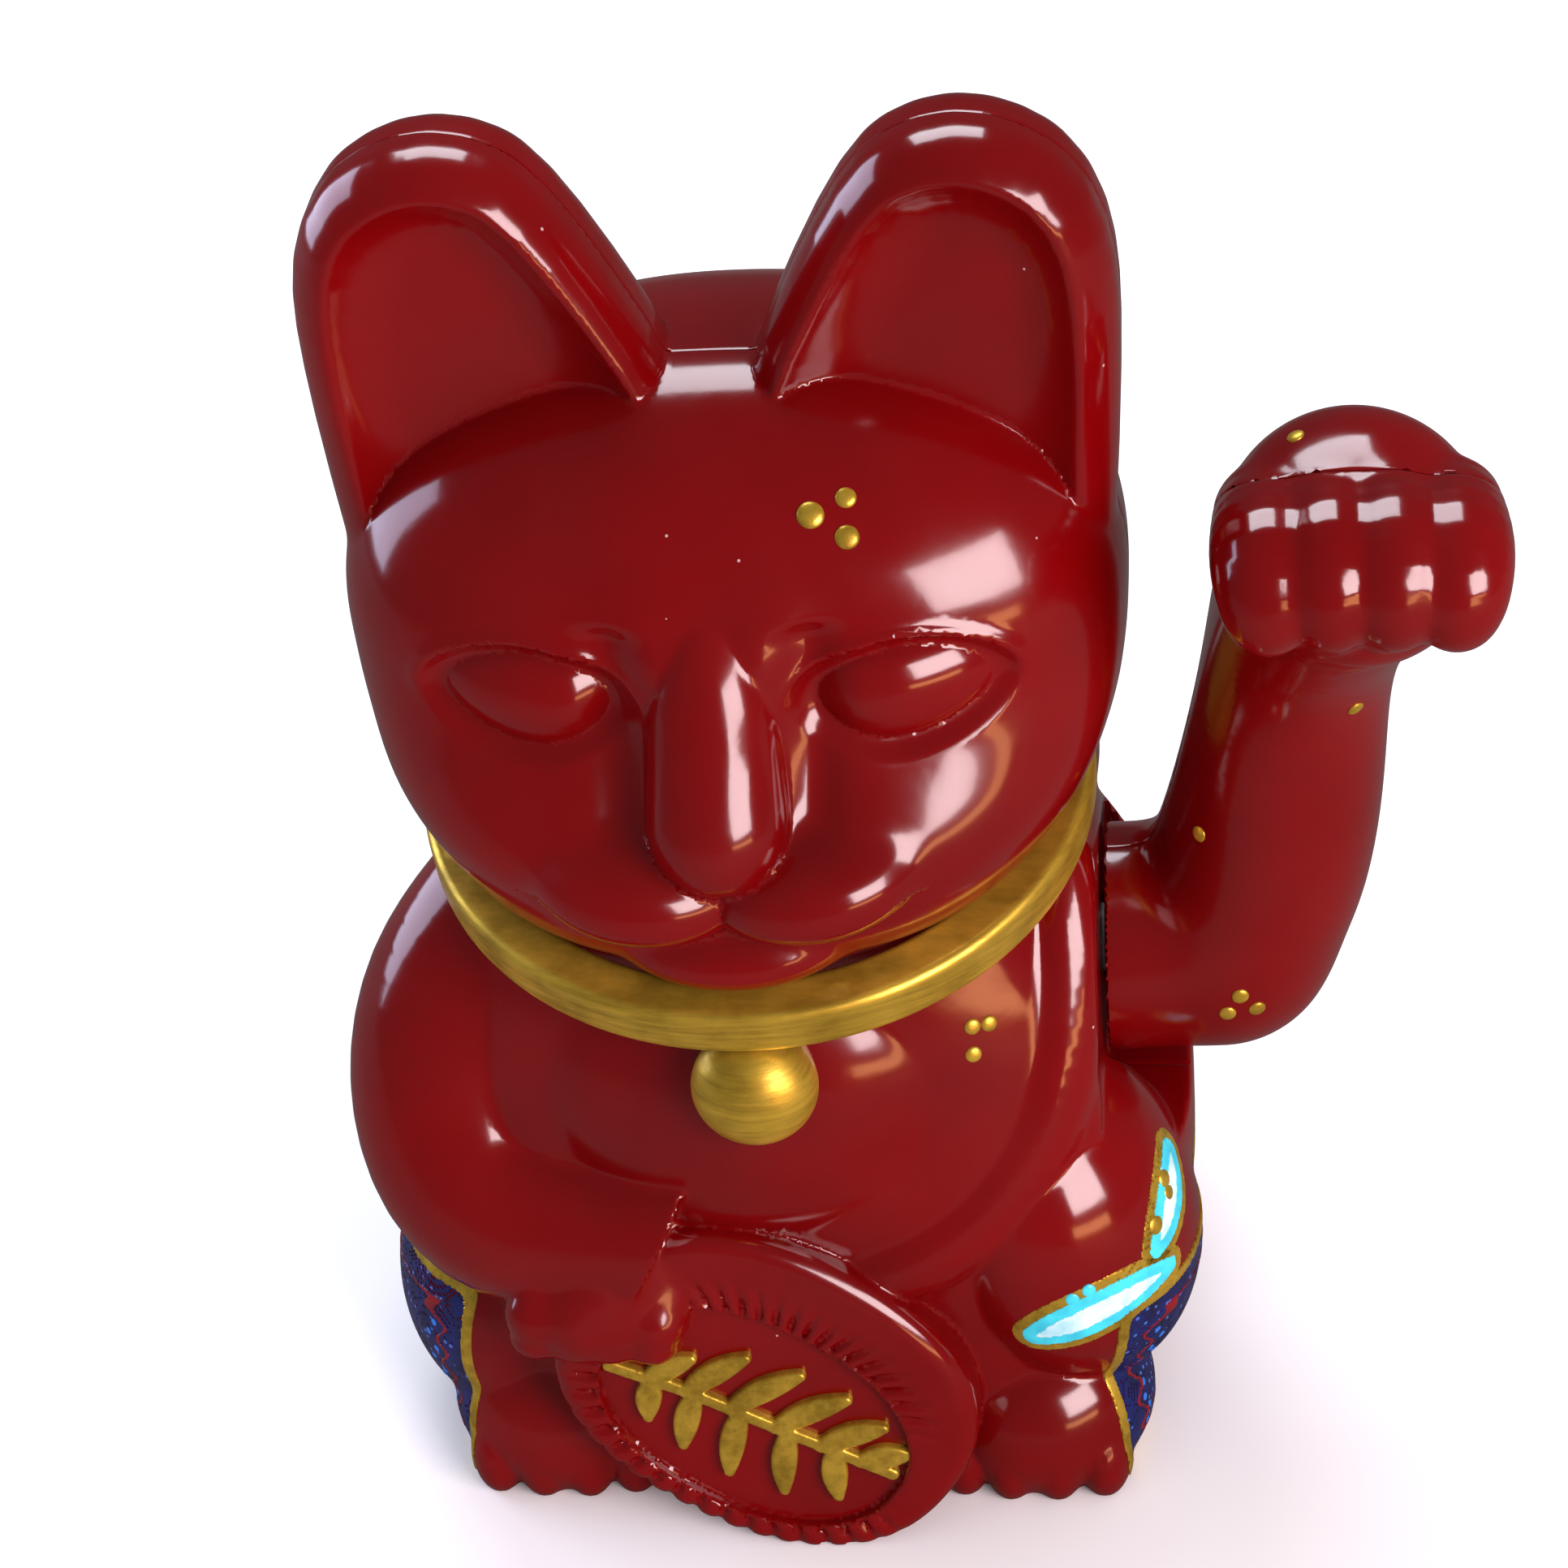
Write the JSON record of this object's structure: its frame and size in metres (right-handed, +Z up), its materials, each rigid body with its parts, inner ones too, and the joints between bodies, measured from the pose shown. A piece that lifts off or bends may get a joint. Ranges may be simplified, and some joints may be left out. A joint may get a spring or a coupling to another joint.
{
  "type": "beckoning cat figurine",
  "caption": "Red and gold plastic beckoning cat with an oval coin, its raised arm waving on a magnet pendulum over a battery-driven coil",
  "frame": {"origin": "on the underside of the base plate, at the middle of the base, where the object rests", "axes": "+Z up, +X to the cat's left where the waving arm is, the cat faces -Y"},
  "size_m": [0.1165, 0.0849, 0.1492],
  "materials": {
    "body_red": "gloss",
    "floor_red": "satin",
    "black_plastic": "matte",
    "white_plastic": "satin",
    "steel": "polished",
    "plated_contact": "polished",
    "cell_jacket": "gloss",
    "magnet_plating": "polished",
    "copper_wire": "gloss",
    "board_green": "satin",
    "lead_red": "satin",
    "lead_black": "satin"
  },
  "bodies": {
    "cat": {"front_shell": "body_red", "rear_shell": "body_red", "base_plate": "floor_red", "base_screws": "steel", "frame_screws": "steel", "board_screws": "steel", "battery_cell": "cell_jacket", "contact_plate": "plated_contact", "contact_spring": "plated_contact", "switch_body": "steel", "movement_frame": "white_plastic", "circuit_board": "board_green", "coil_bobbin": "black_plastic", "coil_winding": "copper_wire", "drive_chip": "black_plastic", "capacitor": "black_plastic", "resistor": "white_plastic", "red_lead": "lead_red", "black_lead": "lead_black", "switch_lead": "lead_red", "coil_leads": "copper_wire"},
    "arm": {"arm_front_shell": "body_red", "arm_rear_shell": "body_red", "pendulum_lever": "white_plastic", "pivot_pin": "steel", "magnet": "magnet_plating", "counterweight": "steel", "weight_screw": "steel", "arm_screw": "steel"},
    "door": {"battery_door": "floor_red"},
    "knob": {"switch_knob": "black_plastic"}
  },
  "joints": [
    {"name": "arm_wave", "type": "hinge", "parent": "cat", "child": "arm", "pos_m": [0.024, 0, 0.05], "axis": [1, 0, 0], "range_deg": [-22, 22]},
    {"name": "door_hinge", "type": "hinge", "parent": "cat", "child": "door", "pos_m": [-0.0076, 0.001, 0.0019], "axis": [0, -1, 0], "range_deg": [0, 75]},
    {"name": "power_slide", "type": "slide", "parent": "cat", "child": "knob", "axis": [1, 0, 0], "range_m": [0, 0.0025]}
  ]
}
